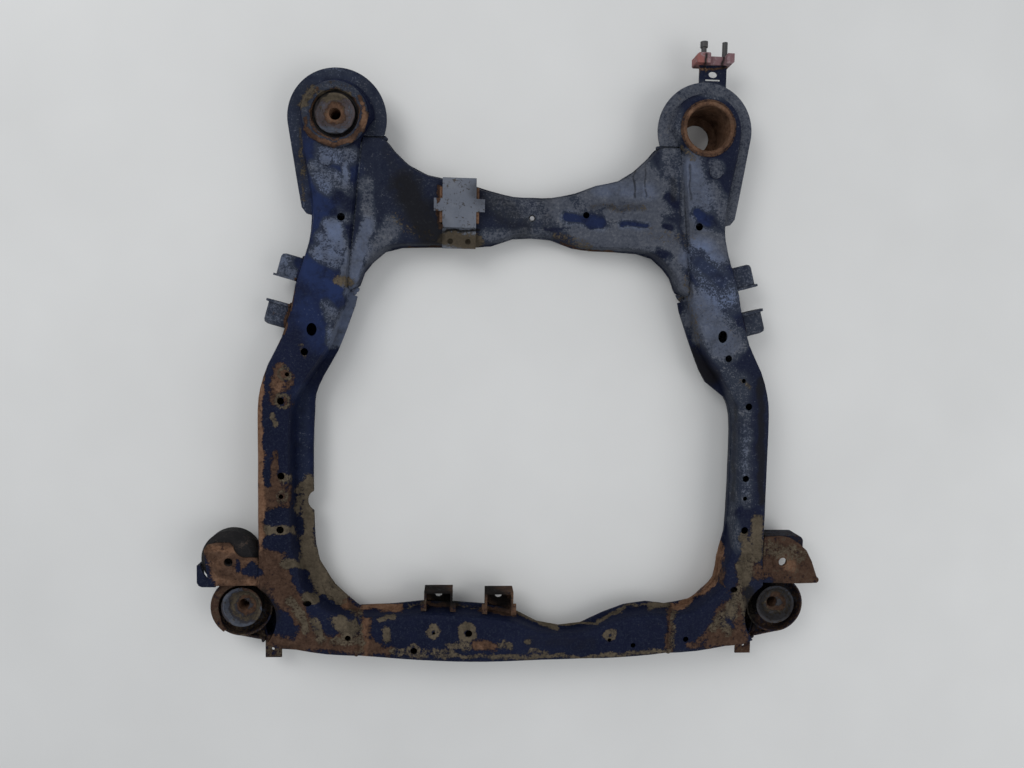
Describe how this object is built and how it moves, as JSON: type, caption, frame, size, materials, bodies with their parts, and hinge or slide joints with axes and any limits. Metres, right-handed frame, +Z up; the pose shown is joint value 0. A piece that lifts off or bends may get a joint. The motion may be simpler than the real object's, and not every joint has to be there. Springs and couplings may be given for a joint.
{
  "type": "subframe",
  "caption": "Welded pressed-steel perimeter subframe with box-section rails, crossmembers, bush mounts, control-arm ears and brackets, rusted and worn, with a rear bush missing.",
  "frame": {"origin": "centre of the overall box, on the floor under the four body-mount faces", "axes": "+X to the right in the picture, +Y towards the end with the rear mounts (the picture's top), +Z up, out of the face in the picture"},
  "size_m": [1.012, 1.0102, 0.0822],
  "materials": {
    "painted_steel": "worn dark blue coating with rust and dirt",
    "rusted_steel": "rusted",
    "bare_steel": "dull grey, stained",
    "rubber": "matt black"
  },
  "bodies": {
    "root": {"left_rail_lower": "painted_steel", "right_rail_lower": "painted_steel", "left_rail_upper": "painted_steel", "right_rail_upper": "painted_steel", "rear_cross_lower": "painted_steel", "rear_cross_upper": "painted_steel", "front_cross_lower": "painted_steel", "front_cross_upper": "painted_steel", "left_rear_plate": "painted_steel", "right_rear_plate": "painted_steel", "left_arm_ear_rear": "painted_steel", "left_arm_ear_front": "painted_steel", "right_arm_ear_rear": "painted_steel", "right_arm_ear_front": "painted_steel", "left_stop_clip": "painted_steel", "right_stop_bracket": "painted_steel", "hanger_bracket": "painted_steel", "locating_bosses": "painted_steel", "left_rear_tube": "rusted_steel", "right_rear_tube": "rusted_steel", "left_bush_ring": "rusted_steel", "left_bush_sleeve": "rusted_steel", "left_front_cup": "rusted_steel", "right_front_cup": "rusted_steel", "left_front_sleeve": "rusted_steel", "right_front_sleeve": "rusted_steel", "left_corner_ear": "rusted_steel", "right_corner_ear": "rusted_steel", "left_mount_channel": "rusted_steel", "right_mount_channel": "rusted_steel", "rear_bracket_base": "rusted_steel", "left_front_tab": "rusted_steel", "right_front_tab": "rusted_steel", "hanger_block": "rusted_steel", "left_bush_disc": "bare_steel", "left_front_washer": "bare_steel", "right_front_washer": "bare_steel", "rear_bracket": "bare_steel", "hanger_pins": "bare_steel", "left_bush_rubber": "rubber", "left_front_rubber": "rubber", "right_front_rubber": "rubber", "left_buffer": "rubber"}
  },
  "joints": []
}
